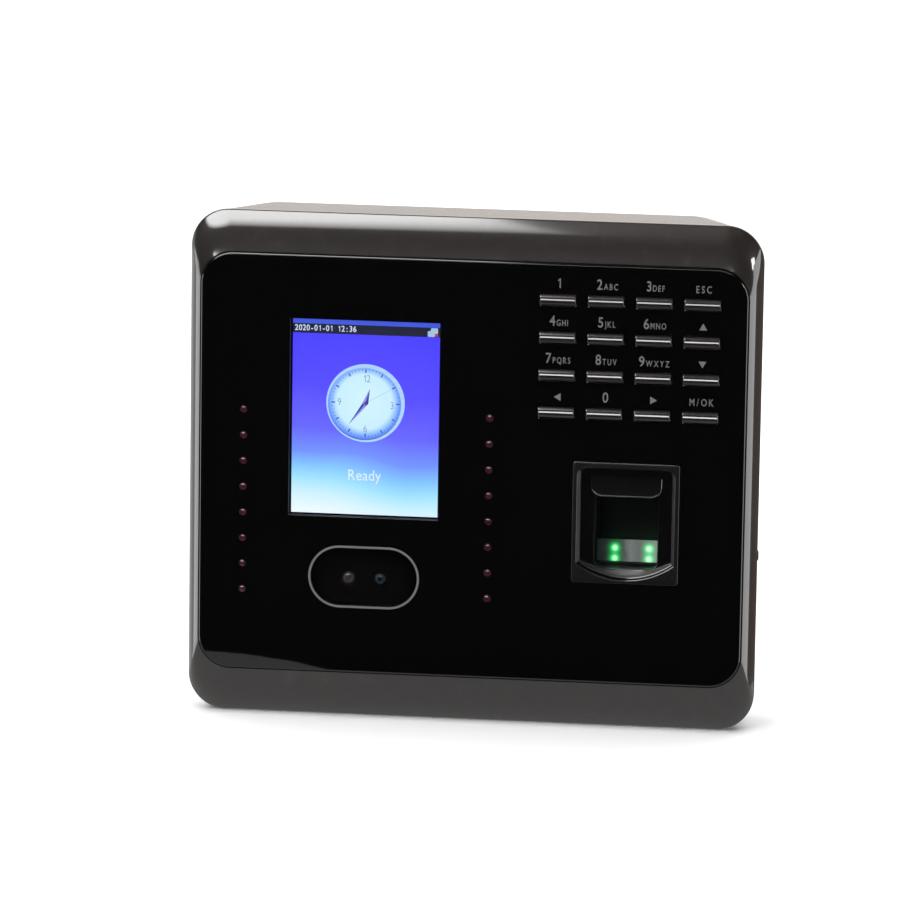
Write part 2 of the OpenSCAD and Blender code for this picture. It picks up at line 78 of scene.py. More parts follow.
class Box:
    """A CAD node's box in millimetres and depths."""

    def __init__(self, node):
        low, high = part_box(node)
        self.left, self.right = low.x / MM, high.x / MM
        self.near, self.far = (low.y - FACE_Y) / MM, (high.y - FACE_Y) / MM
        self.bottom, self.top = low.z / MM, high.z / MM
        self.width, self.height = self.right - self.left, self.top - self.bottom
        self.x, self.z = (self.left + self.right) / 2, (self.bottom + self.top) / 2


bezel = Box("front_bezel")
panel = Box("front_panel")
window = Box("display_window")
camera_window = Box("camera_window")
reader = Box("fingerprint_frame")
diffuser = Box("fingerprint_diffuser")


# ---- outlines and meshes


def between(a, b, share):
    return a + (b - a) * share


def outline(width, height, radius, x=0.0, z=0.0, corner_steps=12, edge_steps=1):
    """Points (x, z) round a rectangle with round corners, counter-clockwise from the right-hand side."""
    points = []
    signs = ((1, 1), (-1, 1), (-1, -1), (1, -1))
    for quarter, (side, up) in enumerate(signs):
        middle_x = x + side * (width / 2 - radius)
        middle_z = z + up * (height / 2 - radius)
        for i in range(corner_steps + 1):
            angle = (quarter + i / corner_steps) * math.pi / 2
            points.append((middle_x + radius * math.cos(angle), middle_z + radius * math.sin(angle)))
        next_side, next_up = signs[(quarter + 1) % 4]
        end_angle = (quarter + 1) * math.pi / 2
        start = points[-1]
        end = (
            x + next_side * (width / 2 - radius) + radius * math.cos(end_angle),
            z + next_up * (height / 2 - radius) + radius * math.sin(end_angle),
        )
        for i in range(1, edge_steps):
            share = i / edge_steps
            points.append((between(start[0], end[0], share), between(start[1], end[1], share)))
    return points


def circle(radius, x=0.0, z=0.0, steps=48):
    turns = [2 * math.pi * i / steps for i in range(steps)]
    return [(x + radius * math.cos(a), z + radius * math.sin(a)) for a in turns]


def at_depth(points, depth):
    return [place(x, depth, z) for x, z in points]


def loft(form, rings, closed=False):
    """Skins rings of equally many points.

    closed joins the last ring to the first, or else both ends are capped.
    """
    rows = [[form.verts.new(point) for point in ring] for ring in rings]
    pairs = list(zip(rows, rows[1:]))
    if closed:
        pairs.append((rows[-1], rows[0]))
    else:
        form.faces.new(rows[0])
        form.faces.new(rows[-1])
    for near, far in pairs:
        count = len(near)
        for i in range(count):
            j = (i + 1) % count
            form.faces.new((near[i], near[j], far[j], far[i]))


def prism(form, points, near, far):
    loft(form, [at_depth(points, near), at_depth(points, far)])


def tube(form, x, z, sections, steps=32):
    """A turned part about a line along the depth. sections is a list of (radius, depth), out and back in."""
    loft(form, [at_depth(circle(r, x, z, steps), depth) for r, depth in sections], closed=True)


def turned(form, x, z, sections, steps=32):
    """As tube(), but solid, from one closed end to the other."""
    loft(form, [at_depth(circle(r, x, z, steps), depth) for r, depth in sections])


def clean(form, sharp_angle):
    """Turns faces outward, shades them smooth and keeps the edges sharper than the angle."""
    bmesh.ops.recalc_face_normals(form, faces=form.faces)
    for face in form.faces:
        face.smooth = True
    for edge in form.edges:
        edge.smooth = edge.is_manifold and edge.calc_face_angle() < math.radians(sharp_angle)


def make_object(name, form, sharp_angle=35):
    clean(form, sharp_angle)
    mesh = bpy.data.meshes.new(name)
    form.to_mesh(mesh)
    form.free()
    made = bpy.data.objects.new(name, mesh)
    bpy.context.scene.collection.objects.link(made)
    return made


def cut_away(piece, form, sharp_angle=35):
    """Takes the closed forms in form away from piece."""
    cutter = make_object("cutter", form)
    modifier = piece.modifiers.new("cut", "BOOLEAN")
    modifier.operation = "DIFFERENCE"
    modifier.solver = "EXACT"
    modifier.object = cutter
    seen = piece.evaluated_get(bpy.context.evaluated_depsgraph_get())
    result = bmesh.new()
    result.from_mesh(seen.to_mesh())
    piece.modifiers.remove(modifier)
    clean(result, sharp_angle)
    result.to_mesh(piece.data)
    result.free()
    bpy.data.objects.remove(cutter)


def finish_piece(piece, material, body=BODY, stands_for=(), flat_faces=False):
    """Gives a piece its material, body and the CAD nodes that it stands for.

    flat_faces lets the large faces set the shading, so that small ones at their corners don't bend it.
    """
    piece.data.materials.clear()
    piece.data.materials.append(material)
    if flat_faces:
        weighted = piece.modifiers.new("flat_faces", "WEIGHTED_NORMAL")
        weighted.keep_sharp = True
    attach(piece, body)
    if stands_for:
        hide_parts(*stands_for)
    return piece


def second_material(piece, material, chosen):
    """Gives another material to the faces for which chosen(x, depth, z, normal) holds."""
    piece.data.materials.append(material)
    latest = len(piece.data.materials) - 1
    for face in piece.data.polygons:
        spot = face.center
        if chosen(spot.x / MM, (spot.y - FACE_Y) / MM, spot.z / MM, face.normal):
            face.material_index = latest


# ---- material helpers


def srgb(red, green, blue):
    """A colour given as it looks on a screen, from 0 to 255, as the linear colour that a shader takes."""

    def linear(value):
        share = value / 255
        return share / 12.92 if share <= 0.04045 else ((share + 0.055) / 1.055) ** 2.4

    return (linear(red), linear(green), linear(blue), 1.0)


def darker(colour, share):
    return tuple(channel * share for channel in colour[:3]) + (1.0,)


def feed(tree, socket, value):
    """Links a node's output to the socket, or sets the socket to a plain value."""
    if isinstance(value, bpy.types.NodeSocket):
        tree.links.new(value, socket)
    else:
        socket.default_value = value


def add(tree, kind, inputs=None, **settings):
    """A new node. inputs maps a socket's name or place to a value or to another node's output."""
    node = tree.nodes.new("ShaderNode" + kind)
    for name, value in settings.items():
        setattr(node, name, value)
    for key, value in (inputs or {}).items():
        feed(tree, node.inputs[key], value)
    return node


def new_material(name, **inputs):
    """A Principled material with its sockets set, and its tree and shader."""
    made = bpy.data.materials.new(name)
    made.use_nodes = True
    shader = made.node_tree.nodes["Principled BSDF"]
    for key, value in inputs.items():
        feed(made.node_tree, shader.inputs[key.replace("_", " ")], value)
    return made, made.node_tree, shader


def position(tree):
    return add(tree, "TexCoord").outputs["Object"]


def stretched(tree, scale):
    """The position with each axis scaled by its own factor."""
    return add(tree, "Mapping", {"Vector": position(tree), "Scale": scale}).outputs[0]


def noise(tree, size, detail=2.0, vector=None):
    """Noise from 0 to 1 whose features are about size millimetres wide."""
    inputs = {"Vector": vector or position(tree), "Scale": 1 / (size * MM), "Detail": detail}
    return add(tree, "TexNoise", inputs).outputs[0]


def spread(tree, value, low, high, start=0.0, end=1.0):
    """value, from start to end, spread over low to high."""
    inputs = {"Value": value, "From Min": start, "From Max": end, "To Min": low, "To Max": high}
    return add(tree, "MapRange", inputs).outputs[0]


def ramp(tree, value, *stops):
    """A colour that changes with value. Each stop is (place, colour)."""
    node = add(tree, "ValToRGB", {0: value})
    elements = node.color_ramp.elements
    while len(elements) < len(stops):
        elements.new(0.5)
    for element, (where, colour) in zip(elements, sorted(stops, key=lambda stop: stop[0])):
        element.position = where
        element.color = colour
    return node.outputs[0]


def bump(tree, shader, height, depth):
    """Relief of depth millimetres on the shader."""
    node = add(tree, "Bump", {"Height": height, "Distance": depth * MM, "Strength": 1.0})
    feed(tree, shader.inputs["Normal"], node.outputs[0])


def math_node(tree, operation, first, second=0.0):
    return add(tree, "Math", {0: first, 1: second}, operation=operation).outputs[0]


# ---- materials


def plastic(name, colour, roughness, grain=0.25, relief=0.01):
    """Moulded plastic with a fine eroded grain and slightly uneven colour and gloss."""
    made, tree, shader = new_material(name)
    tone = ramp(tree, noise(tree, 12, 3), (0.35, darker(colour, 0.85)), (0.65, colour))
    feed(tree, shader.inputs["Base Color"], tone)
    fine = noise(tree, grain, 3)
    feed(tree, shader.inputs["Roughness"], spread(tree, fine, roughness * 0.85, roughness * 1.15))
    bump(tree, shader, fine, relief)
    return made


def lacquer():
    """Gunmetal lacquer: fine metal flakes, closer together in places, under a smooth clear coat."""
    made, tree, shader = new_material(
        "gunmetal_lacquer", Coat_Weight=1.0, Coat_Roughness=0.07, Coat_IOR=1.5, Specular_IOR_Level=0.1
    )
    cells = {"Vector": position(tree), "Scale": 1 / (0.14 * MM)}
    light = add(tree, "SeparateColor", {0: add(tree, "TexVoronoi", cells).outputs["Color"]}).outputs[0]
    patches = spread(tree, noise(tree, 5, 3), 0.0, 0.35, 0.45, 0.75)
    flakes = math_node(tree, "MULTIPLY", light, patches)
    dull, plain, bright = srgb(33, 29, 27), srgb(38, 34, 32), srgb(62, 58, 55)
    feed(tree, shader.inputs["Base Color"], ramp(tree, flakes, (0.0, dull), (0.2, plain), (0.35, bright)))
    feed(tree, shader.inputs["Roughness"], spread(tree, noise(tree, 0.5), 0.34, 0.44))
    bump(tree, shader, light, 0.0006)
    return made


def piano_black():
    """Polished black with a trace of orange peel and dust."""
    made, tree, shader = new_material("piano_black", Base_Color=srgb(7, 7, 7), IOR=1.46)
    polished, dusty = (0.03, 0.03, 0.03, 1), (0.09, 0.09, 0.09, 1)
    dust = ramp(tree, noise(tree, 0.8, 4), (0.6, polished), (0.85, dusty))
    feed(tree, shader.inputs["Roughness"], dust)
    bump(tree, shader, noise(tree, 2.5), 0.0015)
    return made


def key_coat():
    """Dark glossy lacquer of the keys."""
    made, tree, shader = new_material(
        "key_coat", Coat_Weight=1.0, Coat_Roughness=0.08, Coat_IOR=1.5, Specular_IOR_Level=0.1
    )
    fine = noise(tree, 0.3, 3)
    tone = ramp(tree, fine, (0.3, srgb(28, 25, 24)), (0.7, srgb(35, 31, 30)))
    feed(tree, shader.inputs["Base Color"], tone)
    feed(tree, shader.inputs["Roughness"], spread(tree, fine, 0.3, 0.4))
    bump(tree, shader, fine, 0.001)
    return made


def ink(name, colour):
    """Screen-printed ink, slightly patchy."""
    made, tree, shader = new_material(name)
    patches = noise(tree, 0.25, 3)
    feed(tree, shader.inputs["Base Color"], ramp(tree, patches, (0.3, darker(colour, 0.75)), (0.6, colour)))
    feed(tree, shader.inputs["Roughness"], spread(tree, patches, 0.45, 0.6))
    return made


def lens_glass(name, colour):
    """Coated glass over a dull ground of one colour."""
    made, tree, shader = new_material(
        name, Coat_Weight=1.0, Coat_Roughness=0.02, Coat_IOR=2.2, Roughness=0.3,
    )
    patches = noise(tree, 0.6, 2)
    feed(tree, shader.inputs["Base Color"], ramp(tree, patches, (0.35, darker(colour, 0.7)), (0.65, colour)))
    return made


def clear(name, tint, roughness=0.03):
    """A clear sheet: what is behind shows through its tint, and its outer faces reflect."""
    made = bpy.data.materials.new(name)
    made.use_nodes = True
    tree = made.node_tree
    tree.nodes.remove(tree.nodes["Principled BSDF"])
    through = add(tree, "BsdfTransparent", {"Color": tint})
    shine = spread(tree, noise(tree, 1.5, 3), roughness * 0.8, roughness * 1.4)
    mirror = add(tree, "BsdfGlossy", {"Color": (1, 1, 1, 1), "Roughness": shine})
    outside = math_node(tree, "SUBTRACT", 1.0, add(tree, "NewGeometry").outputs["Backfacing"])
    edge = math_node(tree, "MULTIPLY", add(tree, "Fresnel", {"IOR": 1.46}).outputs[0], outside)
    mixed = add(tree, "MixShader", {0: edge, 1: through.outputs[0], 2: mirror.outputs[0]})
    feed(tree, tree.nodes["Material Output"].inputs["Surface"], mixed.outputs[0])
    return made


def glow(name, colour, strength=1.0):
    """A lit area of the display with the faint rows of its dots."""
    made, tree, shader = new_material(name, Base_Color=BLACK, Roughness=0.6)
    row_pitch, waves_per_unit = 0.24 * MM, 20
    wave = {"Vector": position(tree), "Scale": 1 / row_pitch / waves_per_unit}
    rows = add(tree, "TexWave", wave, bands_direction="Z").outputs[1]
    feed(tree, shader.inputs["Emission Color"], ramp(tree, rows, (0.0, darker(colour, 0.93)), (1.0, colour)))
    shader.inputs["Emission Strength"].default_value = strength
    return made


def flattened(tree):
    """The position without its depth."""
    return add(tree, "VectorMath", {0: position(tree), 1: (1, 0, 1)}, operation="MULTIPLY").outputs[0]


def distance_from(tree, where, x, z):
    """Distance in metres from the line along the depth at x, z."""
    spot = (x * MM, 0, z * MM)
    return add(tree, "VectorMath", {0: where, 1: spot}, operation="DISTANCE").outputs["Value"]


def sky_glow():
    """The display's picture: deep blue above, pale haze below."""
    made, tree, shader = new_material("display_sky", Base_Color=BLACK, Roughness=0.6)
    axes = add(tree, "SeparateXYZ", {0: position(tree)})
    height = spread(tree, axes.outputs["Z"], 0.04, 1, window.bottom * MM, window.top * MM)
    lean = spread(tree, axes.outputs["X"], -0.045, 0.03, window.left * MM, window.right * MM)
    haze = spread(tree, noise(tree, 26, 0), -0.025, 0.025, 0.3, 0.7)
    where = math_node(tree, "ADD", math_node(tree, "ADD", height, lean), haze)
    tone = ramp(
        tree, where,
        (0.00, srgb(238, 250, 255)), (0.09, srgb(205, 240, 255)), (0.16, srgb(165, 228, 255)),
        (0.23, srgb(132, 200, 255)), (0.31, srgb(112, 145, 255)), (0.43, srgb(100, 98, 255)),
        (0.65, srgb(80, 68, 255)), (1.00, srgb(64, 52, 255)),
    )
    feed(tree, shader.inputs["Emission Color"], tone)
    shader.inputs["Emission Strength"].default_value = 1.1
    return made


def dial_glow(x, z, radius):
    """The clock's dial: pale in the middle, blue towards its rim."""
    made, tree, shader = new_material("clock_dial", Base_Color=BLACK, Roughness=0.6)
    away = distance_from(tree, flattened(tree), x - 0.3, z + 0.3)
    share = spread(tree, away, 0, 1, 0, radius * MM)
    tone = ramp(
        tree, share,
        (0.00, srgb(208, 240, 252)), (0.72, srgb(200, 235, 252)), (0.83, srgb(150, 195, 252)),
        (0.92, srgb(108, 155, 248)), (0.97, srgb(84, 124, 226)), (1.00, srgb(60, 92, 190)),
    )
    feed(tree, shader.inputs["Emission Color"], tone)
    shader.inputs["Emission Strength"].default_value = 1.12
    return made


def lamp_epoxy(name, colour):
    """Tinted epoxy of the infrared lamps."""
    made, tree, shader = new_material(name, IOR=1.5, Coat_Weight=0.6)
    fine = noise(tree, 0.4)
    feed(tree, shader.inputs["Base Color"], ramp(tree, fine, (0.3, darker(colour, 0.7)), (0.7, colour)))
    feed(tree, shader.inputs["Roughness"], spread(tree, fine, 0.1, 0.2))
    return made


def board_resin():
    """Solder mask over copper tracks, which show as a lighter maze."""
    made, tree, shader = new_material("circuit_board", Coat_Weight=0.4)
    mask, copper = srgb(12, 62, 34), srgb(28, 92, 50)
    bricks = add(
        tree, "TexBrick",
        {"Vector": position(tree), "Scale": 120.0, "Mortar Size": 0.02,
         "Color1": mask, "Color2": mask, "Mortar": copper},
    )
    feed(tree, shader.inputs["Base Color"], bricks.outputs["Color"])
    feed(tree, shader.inputs["Roughness"], spread(tree, noise(tree, 1), 0.3, 0.42))
    bump(tree, shader, bricks.outputs[1], 0.02)
    return made


def plated_steel(name, colour, roughness=0.35, stretch=(1, 1, 12)):
    """Zinc-plated or brushed steel with short drawn marks."""
    made, tree, shader = new_material(name, Metallic=1.0)
    marks = noise(tree, 1.2, 5, stretched(tree, stretch))
    cloud = noise(tree, 9, 4)
    feed(tree, shader.inputs["Base Color"], ramp(tree, cloud, (0.35, darker(colour, 0.78)), (0.65, colour)))
    feed(tree, shader.inputs["Roughness"], spread(tree, marks, roughness * 0.7, roughness * 1.3))
    bump(tree, shader, marks, 0.006)
    return made


def lit_strip(leds):
    """The reader's diffuser: grey light that grows to the right, with green round each lamp."""
    made, tree, shader = new_material("lit_strip", Base_Color=srgb(90, 95, 90), Roughness=0.5)
    axes = add(tree, "SeparateXYZ", {0: position(tree)})
    share = spread(tree, axes.outputs["X"], 0, 1, diffuser.left * MM, diffuser.right * MM)
    mottled = math_node(tree, "ADD", share, spread(tree, noise(tree, 1.8, 1), -0.03, 0.03, 0.3, 0.7))
    total = ramp(
        tree, mottled,
        (0.0, srgb(8, 20, 12)), (0.25, srgb(24, 40, 28)), (0.42, srgb(70, 80, 72)),
        (0.55, srgb(150, 152, 150)), (0.7, srgb(128, 134, 130)), (1.0, srgb(168, 182, 172)),
    )
    where = flattened(tree)
    halo_radius = 3.0
    for x, z in leds:
        near = spread(tree, distance_from(tree, where, x, z), 0, 1, 0, halo_radius * MM)
        halo = ramp(
            tree, near,
            (0.0, (1.6, 2.4, 1.8, 1)), (0.2, (0.7, 2.2, 0.9, 1)), (0.38, (0.0, 0.9, 0.16, 1)),
            (0.65, (0.0, 0.14, 0.03, 1)), (1.0, BLACK),
        )
        total = add(tree, "VectorMath", {0: total, 1: halo}, operation="ADD").outputs[0]
    feed(tree, shader.inputs["Emission Color"], total)
    shader.inputs["Emission Strength"].default_value = 1.3
    return made


# ---- bezel and panel

OPENING = (panel.width, panel.height, 9.5)
LEDGE_DEPTH = 2.8
LEDGE_BACK = 4.8
SEAM_DEPTH = 7.5
SLOPE_START, SLOPE_END = 0.6, 6.0


def slope(share):
    """Depth of the bezel's face from its ridge, 0, to its outer edge, 1."""
    return SLOPE_START + (SLOPE_END - SLOPE_START) * (0.5 * share + 0.5 * share**3)


def body_ring(width, height, radius, depth, z=0.0):
    return at_depth(outline(width, height, radius, 0, z, corner_steps=20), depth)


def bezel_shell():
    opening_w, opening_h, opening_r = OPENING
    form = bmesh.new()

    def inner(grow, depth):
        return body_ring(opening_w + grow, opening_h + grow, opening_r + grow / 2, depth, panel.z)

    def face(share, depth):
        return body_ring(
            between(opening_w + 0.6, bezel.width, share), between(opening_h + 0.6, bezel.height, share),
            between(opening_r + 0.3, 11, share), depth, between(panel.z, 0, share),
        )

    rings = [
        body_ring(opening_w - 7, opening_h - 7, 6, LEDGE_DEPTH, panel.z),
        inner(0.2, LEDGE_DEPTH),
        inner(0.2, 0.9),
        inner(0.3, 0.66),
    ]
    shares = [i / 24 for i in range(24)] + [0.985]
    rings += [face(share, slope(share)) for share in shares]
    rings += [face(0.995, 6.02), face(1.0, 6.3), face(1.0, SEAM_DEPTH - 0.25), face(0.994, SEAM_DEPTH)]
    skirt_w, skirt_h = bezel.width - 7, bezel.height - 6
    rings += [
        body_ring(skirt_w, skirt_h, 11, SEAM_DEPTH),
        body_ring(skirt_w, skirt_h, 11, 11),
        body_ring(skirt_w - 2.6, skirt_h - 4.6, 8, 11),
        body_ring(skirt_w - 2.6, skirt_h - 4.6, 8, LEDGE_BACK),
        body_ring(opening_w - 7, opening_h - 7, 6, LEDGE_BACK, panel.z),
    ]
    loft(form, rings, closed=True)
    bore_r, post_r = 1.35, 3.5
    posts = [(bore_r, 5.8), (post_r, LEDGE_BACK), (post_r, bezel.far), (bore_r, bezel.far)]
    for x in (-70, 70):
        for z in (-60, 60):
            tube(form, x, z, posts)
    piece = make_object("bezel_shell", form, 30)
    finish_piece(piece, lacquer(), stands_for=["front_bezel"], flat_faces=True)


KEY_ROWS = (
    ("1", "2", "3", "esc"),
    ("4", "5", "6", "up"),
    ("7", "8", "9", "down"),
    ("left", "0", "right", "menu"),
)
KEYS = {name: Box("key_" + name) for row in KEY_ROWS for name in row}
KEY_FLANGE_W, KEY_FLANGE_H = 1.8, 1.4
KEY_GAP = 0.3
LAMPS = 8
LAMP_HOLE_R = 1.27


def lamp_places(node):
    """Middles of the lamps in a column, from its box."""
    column = Box(node)
    reach = column.width / 2
    low, high = column.bottom + reach, column.top - reach
    return [(column.x, between(high, low, i / (LAMPS - 1))) for i in range(LAMPS)]


def flared_hole(form, points_at, chamfer=0.12):
    """A cutter for a hole with a small chamfer at the panel's face.

    points_at gives the outline grown by a margin.
    """
    near, far = -0.4, 4.0
    rings = [points_at(chamfer - near), points_at(0.0), points_at(0.0)]
    depths = (near, chamfer, far)
    loft(form, [at_depth(ring, depth) for ring, depth in zip(rings, depths)])


def panel_face():
    form = bmesh.new()
    width, height, radius = OPENING
    edge, drop = 0.6, 0.8

    def ring(inset, depth):
        return body_ring(width - 2 * inset, height - 2 * inset, radius - inset, depth, panel.z)

    turns = [math.pi / 2 * i / 10 for i in range(11)]
    rings = [ring(edge * (1 - math.sin(turn)), drop * (1 - math.cos(turn))) for turn in turns]
    rings.append(ring(0.0, panel.far))
    loft(form, rings)
    piece = make_object("panel_face", form, 30)

    holes = bmesh.new()
    gap = 0.04
    flared_hole(holes, lambda grow: outline(
        window.width + gap + grow, window.height + gap + grow, 0.05 + grow / 2, window.x, window.z, 2),
        chamfer=0.04)
    flared_hole(holes, lambda grow: outline(
        camera_window.width + gap + grow, camera_window.height + gap + grow,
        (camera_window.height + grow) / 2, camera_window.x, camera_window.z, 16), chamfer=0.04)
    flared_hole(holes, lambda grow: outline(
        reader.width - 3.7 + grow, reader.height - 3.7 + grow, 0.9 + grow / 2, reader.x, reader.z, 4))
    for key in KEYS.values():
        flared_hole(holes, lambda grow, key=key: outline(
            key.width - KEY_FLANGE_W + 2 * KEY_GAP + grow, key.height - KEY_FLANGE_H + 2 * KEY_GAP + grow,
            0.35 + grow / 2, key.x, key.z, 4))
    for column in ("lamps_left", "lamps_right"):
        for x, z in lamp_places(column):
            flared_hole(holes, lambda grow, x=x, z=z: circle(LAMP_HOLE_R + grow / 2, x, z, 24), chamfer=0.06)
    cut_away(piece, holes, 30)
    finish_piece(piece, piano_black(), stands_for=["front_panel"], flat_faces=True)
    unlit = plastic("unlit_black", srgb(5, 5, 5), 0.95, grain=0.5)

    def window_wall(x, depth, z, normal):
        beside = abs(normal.y) < 0.5 and 0.05 < depth < panel.far
        return beside and any(
            max(abs(x - hole.x) - hole.width / 2, abs(z - hole.z) - hole.height / 2) < 0.1
            for hole in (window, camera_window)
        )

    second_material(piece, unlit, window_wall)


# ---- keys and their legends


def key_cap(name, material):
    """A half-round bar with a flattened crest and soft ends, its flange behind the panel and its stem."""
    box = KEYS[name]
    form = bmesh.new()
    width, height = box.width - KEY_FLANGE_W, box.height - KEY_FLANGE_H
    radius = height / 2
    crest = box.near
    end_round = 0.25
    crest_slope = math.tan(math.radians(12))
    profile = [(rise, crest_slope * rise) for rise in (0.02, 0.06, 0.36, 0.40)]
    for i in range(3, 13):
        angle = math.pi / 2 * i / 12
        profile.append((radius * math.sin(angle), radius * (1 - math.cos(angle)) + 0.02))
    rings = []
    for rise, drop in profile:
        depth = crest + drop
        tuck = end_round * (1 - math.sin(min(1.0, (depth - crest) / 0.5) * math.pi / 2))
        corner = min(rise * 0.98, 0.22)
        rings.append((width - 2 * tuck, 2 * rise, corner, depth))
    rings.insert(0, (rings[0][0] - 0.1, 0.01, 0.004, crest + 0.0005))
    flange_near, flange_far = 2.6, 3.4
    rings += [
        (width, height, 0.22, flange_near),
        (box.width, box.height, 0.3, flange_near),
        (box.width, box.height, 0.3, flange_far),
        (3.0, 3.0, 1.49, flange_far),
        (3.0, 3.0, 1.49, box.far),
    ]
    loft(form, [at_depth(outline(w, h, r, box.x, box.z, 5), depth) for w, h, r, depth in rings])
    piece = make_object("keycap_" + name, form, 40)
    finish_piece(piece, material, body="key_" + name, stands_for=["key_" + name], flat_faces=True)


LETTER_THICKNESS = 0.02


def numeral_one():
    """A 1 with a flag, 1 high, which the built-in lettering lacks."""
    corners = ((0.30, 0.0), (0.44, 0.0), (0.44, 1.0), (0.34, 1.0), (0.10, 0.80), (0.10, 0.67), (0.30, 0.80))
    form = bmesh.new()
    half = LETTER_THICKNESS / 2
    rings = [[form.verts.new((x, y, z)) for x, y in corners] for z in (-half, half)]
    form.faces.new(rings[0])
    form.faces.new(rings[1])
    for i in range(len(corners)):
        j = (i + 1) % len(corners)
        form.faces.new((rings[0][i], rings[0][j], rings[1][j], rings[1][i]))
    mesh = bpy.data.meshes.new("one")
    form.to_mesh(mesh)
    form.free()
    return mesh


def text_mesh(letter, bold):
    """A letter as a flat mesh with its foot on y = 0, scaled so that a capital is 1 high."""
    if letter == "1":
        return numeral_one()
    curve = bpy.data.curves.new("lettering", "FONT")
    curve.resolution_u = 4
    holder = bpy.data.objects.new("lettering", curve)
    bpy.context.scene.collection.objects.link(holder)
    graph = bpy.context.evaluated_depsgraph_get()
    curve.body = "H"
    graph.update()
    capital = holder.evaluated_get(graph).to_mesh()
    cap_height = max(v.co.y for v in capital.vertices)
    curve.body = letter
    curve.extrude = LETTER_THICKNESS / 2
    curve.offset = bold
    graph.update()
    mesh = bpy.data.meshes.new_from_object(holder.evaluated_get(graph))
    bpy.data.objects.remove(holder)
    mesh.transform(Matrix.Diagonal((1 / cap_height, 1 / cap_height, 1, 1)))
    return mesh


def add_text(form, text, height, x, z, depth, squeeze=0.8, spacing=0.0, align=0.5, bold=0.0, pitch=None):
    """Adds lettering to form and returns its width. align is the share left of x, pitch a fixed step."""
    letters = []
    pen = 0.0
    for letter in text:
        if letter == " ":
            pen += pitch or height * squeeze * 0.45
            continue
        mesh = text_mesh(letter, bold)
        left = min(v.co.x for v in mesh.vertices) * height * squeeze
        right = max(v.co.x for v in mesh.vertices) * height * squeeze
        if pitch:
            letters.append((mesh, pen + (pitch - left - right) / 2))
            pen += pitch
        else:
            letters.append((mesh, pen - left))
            pen += right - left + spacing
    total = pen - (0 if pitch else spacing)
    for mesh, shift in letters:
        mesh.transform(Matrix.Diagonal((height * squeeze, height, 1, 1)))
        for vertex in mesh.vertices:
            u, v, w = vertex.co
            vertex.co = place(x + u + shift - total * align, depth - w, z + v)
        form.from_mesh(mesh)
        bpy.data.meshes.remove(mesh)
    return total


LEGENDS = {
    "1": ("1", ""), "2": ("2", "ABC"), "3": ("3", "DEF"), "esc": ("", "ESC"),
    "4": ("4", "GHI"), "5": ("5", "JKL"), "6": ("6", "MNO"),
    "7": ("7", "PQRS"), "8": ("8", "TUV"), "9": ("9", "WXYZ"),
    "0": ("0", ""), "menu": ("", "M/OK"),
}
ARROWS = {"up": 90, "down": 270, "left": 180, "right": 0}
INK_DEPTH = -0.02
INK = ink("legend_ink", srgb(104, 104, 106))


def arrow_points(x, z, turn):
    corners = ((1.05, 0.0), (-0.95, 1.15), (-0.95, -1.15))
    c, s = math.cos(math.radians(turn)), math.sin(math.radians(turn))
    return [(x + a * c - b * s, z + a * s + b * c) for a, b in corners]


def key_legend(name):
    box = KEYS[name]
    foot = box.z + (box.height - KEY_FLANGE_H) / 2 + 1.85
    middle = box.x + 0.3
    form = bmesh.new()
    if name in ARROWS:
        prism(form, arrow_points(middle, foot + 1.1, ARROWS[name]), INK_DEPTH - 0.01, INK_DEPTH + 0.01)
    else:
        digit, letters = LEGENDS[name]
        if digit and letters:
            digit_h, letter_h, gap = 2.9, 1.75, 0.5
            scratch = bmesh.new()
            digit_w = add_text(scratch, digit, digit_h, 0, 0, 0, 0.82)
            letters_w = add_text(scratch, letters, letter_h, 0, 0, 0, 0.7, 0.42, bold=0.01)
            scratch.free()
            start = middle - (digit_w + gap + letters_w) / 2
            add_text(form, digit, digit_h, start, foot, INK_DEPTH, 0.82, align=0, bold=0.012)
            start += digit_w + gap
            add_text(form, letters, letter_h, start, foot, INK_DEPTH, 0.7, 0.42, align=0, bold=0.01)
        elif digit:
            add_text(form, digit, 2.9, middle, foot, INK_DEPTH, 0.85, bold=0.012)
        else:
            add_text(form, letters, 2.05, middle, foot, INK_DEPTH, 0.72, 0.66, bold=0.01)
    finish_piece(make_object("legend_" + name, form, 30), INK)


def keypad():
    coat = key_coat()
    for name in KEYS:
        key_cap(name, coat)
        key_legend(name)


def camera_outline(grow):
    """The outline of the camera window, grown."""
    width, height = camera_window.width + grow, camera_window.height + grow
    return outline(width, height, height / 2 - 0.01, camera_window.x, camera_window.z, 24)


def camera_ring():
    """The printed line round the camera window."""
    form = bmesh.new()
    line_w = 0.65
    outer, inner = (camera_outline(grow) for grow in (1.6, 1.6 - 2 * line_w))
    near, far = -0.03, -0.005
    rings = [at_depth(outer, near), at_depth(outer, far), at_depth(inner, far), at_depth(inner, near)]
    loft(form, rings, closed=True)
    finish_piece(make_object("camera_ring", form, 30), INK)


# ---- display picture

PICTURE_MARGIN = 0.48
PICTURE_LEFT, PICTURE_RIGHT = window.left + PICTURE_MARGIN, window.right - PICTURE_MARGIN
PICTURE_BOTTOM, PICTURE_TOP = window.bottom + PICTURE_MARGIN, window.top - PICTURE_MARGIN


def lit_piece(name, form, material):
    finish_piece(make_object(name, form, 30), material)


def picture_layer(name, points, depth, material):
    """A thin lit layer of the display's picture."""
    form = bmesh.new()
    prism(form, points, depth, depth + 0.012)
    lit_piece(name, form, material)


def rectangle(left, right, bottom, top):
    return [(right, top), (left, top), (left, bottom), (right, bottom)]


